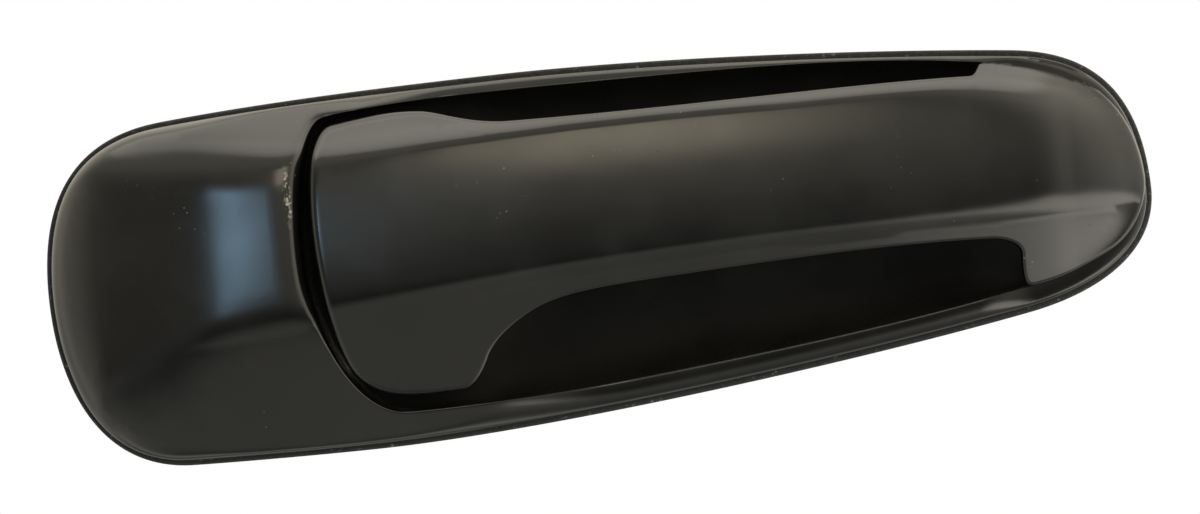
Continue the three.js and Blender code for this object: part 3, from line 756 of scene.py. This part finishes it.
# ---- stage ----
FLOOR_Z = -0.6
FLOOR_HALF = 7
floor_mesh = bpy.data.meshes.new("floor")
floor_corners = [(-1, -1), (1, -1), (1, 1), (-1, 1)]
floor_mesh.from_pydata(
    [(x * FLOOR_HALF, y * FLOOR_HALF, FLOOR_Z) for x, y in floor_corners], [], [(0, 1, 2, 3)]
)
floor = bpy.data.objects.new("floor", floor_mesh)
bpy.context.scene.collection.objects.link(floor)
ground = Surface("pale_floor", (0.8, 0.8, 0.8), 0.6)
cloud = ground.ramp(ground.noise(6, 3), 0.3, 0.7)
ground.set("Base Color", ground.mix(cloud, (0.67, 0.75, 0.90), (0.66, 0.74, 0.89)))
floor_mesh.materials.append(ground.mat)
floor.visible_glossy = False

scene = bpy.context.scene
scene.view_settings.view_transform = "Standard"
scene.view_settings.look = "None"

# Camera: level with the handle, square to the door and rolled as the photograph is.
ROLL = math.radians(6)
DISTANCE = 1.3
DROP = 0.00045
VIEW_WIDTH = 0.2725
SENSOR_WIDTH = 36
camera = bpy.data.objects.new("camera", bpy.data.cameras.new("camera"))
scene.collection.objects.link(camera)
right = Vector((math.cos(ROLL), 0, -math.sin(ROLL)))
up = Vector((math.sin(ROLL), 0, math.cos(ROLL)))
back = Vector((0, -1, 0))
turn = Matrix((right, up, back)).transposed().to_4x4()
camera.matrix_world = Matrix.Translation(back * DISTANCE - up * DROP) @ turn
camera.data.sensor_width = SENSOR_WIDTH
camera.data.lens = SENSOR_WIDTH * DISTANCE / VIEW_WIDTH
camera.data.clip_start = 0.05
camera.data.clip_end = 20
scene.camera = camera


# World light by direction. HEIGHTS holds the light against height, 0 straight down to 1 straight
# up. The others are ramps along x, y or z: from, to, value at each. WARM_UP mixes the two tints,
# and the rest add to the light by height.
HEIGHTS = [
    (0, 0.3), (0.06, 0.55), (0.12, 0.7), (0.17, 0.34), (0.23, 0.05), (0.33, 0.12), (0.43, 0.24),
    (0.54, 0.33), (0.67, 0.38), (0.79, 0.6), (0.88, 0.9), (0.96, 1.0), (1, 0.8),
]
BEHIND = (0.0, 0.7, 0, 0.5)
BEHIND_UP = (-0.3, 0.4, 0.1, 1)
LEFT_SIDE = (-0.72, -1.0, 0, 0.75)
RIGHT_SIDE = (0.25, 0.8, 0, 1.6)
LOW_LEFT = (-0.3, -0.7, 0, 0.45)
LOW_LEFT_UP = (-0.1, -0.45, 0, 1)
WARM_UP = (-0.3, 0.1, 0, 1)
LOW_TINT = (1, 0.98, 0.88, 1)
HIGH_TINT = (1, 0.93, 0.77, 1)


def world_light():
    world = bpy.data.worlds.new("studio")
    scene.world = world
    world.use_nodes = True
    nodes, links = world.node_tree.nodes, world.node_tree.links
    coord = nodes.new("ShaderNodeTexCoord")
    split = nodes.new("ShaderNodeSeparateXYZ")
    links.new(coord.outputs["Generated"], split.inputs[0])

    def ramp(axis, low, high, a, b):
        node = nodes.new("ShaderNodeMapRange")
        node.interpolation_type = "SMOOTHSTEP"
        links.new(split.outputs[axis], node.inputs["Value"])
        for key, v in (("From Min", low), ("From Max", high), ("To Min", a), ("To Max", b)):
            node.inputs[key].default_value = v
        return node.outputs["Result"]

    def join(op, a, b):
        node = nodes.new("ShaderNodeMath")
        node.operation = op
        links.new(a, node.inputs[0])
        links.new(b, node.inputs[1])
        return node.outputs[0]

    heights = nodes.new("ShaderNodeValToRGB")
    heights.color_ramp.interpolation = "EASE"
    height_at = nodes.new("ShaderNodeMapRange")
    links.new(split.outputs["Z"], height_at.inputs["Value"])
    height_at.inputs["From Min"].default_value = -1
    links.new(height_at.outputs["Result"], heights.inputs[0])
    heights.color_ramp.elements.remove(heights.color_ramp.elements[0])
    for k, (at, v) in enumerate(HEIGHTS):
        stop = heights.color_ramp.elements[0] if k == 0 else heights.color_ramp.elements.new(at)
        stop.position = at
        stop.color = (v, v, v, 1)
    behind = join("MULTIPLY", ramp("Y", *BEHIND), ramp("Z", *BEHIND_UP))
    low_left = join("MULTIPLY", ramp("X", *LOW_LEFT), ramp("Z", *LOW_LEFT_UP))
    sides = join("ADD", low_left, join("ADD", ramp("X", *LEFT_SIDE), ramp("X", *RIGHT_SIDE)))
    total = join("ADD", heights.outputs[0], join("ADD", behind, sides))
    shade = nodes["Background"]
    links.new(total, shade.inputs["Strength"])
    tint = nodes.new("ShaderNodeMix")
    tint.data_type = "RGBA"
    links.new(ramp("Z", *WARM_UP), tint.inputs["Factor"])
    tint.inputs["A"].default_value = LOW_TINT
    tint.inputs["B"].default_value = HIGH_TINT
    links.new(tint.outputs["Result"], shade.inputs["Color"])
    seen = nodes.new("ShaderNodeBackground")
    path = nodes.new("ShaderNodeLightPath")
    mix = nodes.new("ShaderNodeMixShader")
    seen.inputs["Color"].default_value = (1, 1, 1, 1)
    links.new(path.outputs["Is Camera Ray"], mix.inputs["Fac"])
    links.new(shade.outputs[0], mix.inputs[1])
    links.new(seen.outputs[0], mix.inputs[2])
    links.new(mix.outputs[0], nodes["World Output"].inputs["Surface"])


def area(name, at, aim, size, power, color, shape="RECTANGLE"):
    data = bpy.data.lights.new(name, "AREA")
    data.shape = shape
    data.size, data.size_y = size
    data.energy = power
    data.color = color
    obj = bpy.data.objects.new(name, data)
    scene.collection.objects.link(obj)
    obj.location = at
    obj.rotation_euler = (Vector(aim) - Vector(at)).to_track_quat("-Z", "Y").to_euler()
    obj.visible_camera = False
    return obj


WINDOW_AIM = (-0.08, 0, 0.01)
WINDOW_BLUE = (0.45, 0.74, 1.0)
world_light()
area("top", (0.0, 0.3, 1.5), (0, 0, 0), (1.8, 0.8), 7, (1, 0.96, 0.88))
area("warm_lamp", (0.17, -1.30, 0.52), (0.02, 0, 0.01), (0.27, 0.62), 2.3, (1, 0.9, 0.68))
area("fill", (0.16, -1.6, 0.22), (0, 0, 0), (0.8, 0.7), 0.55, (1, 0.94, 0.8))
area("low_right", (0.47, -0.42, -0.52), (0.1, 0, 0), (0.4, 0.3), 1.25, (1, 0.94, 0.82))
area("window", (-0.32, -1.45, 0.06), WINDOW_AIM, (0.035, 0.16), 0.52, WINDOW_BLUE, "ELLIPSE")
area("window_glow", (-0.32, -1.46, 0.06), WINDOW_AIM, (0.16, 0.30), 0.66, WINDOW_BLUE, "ELLIPSE")
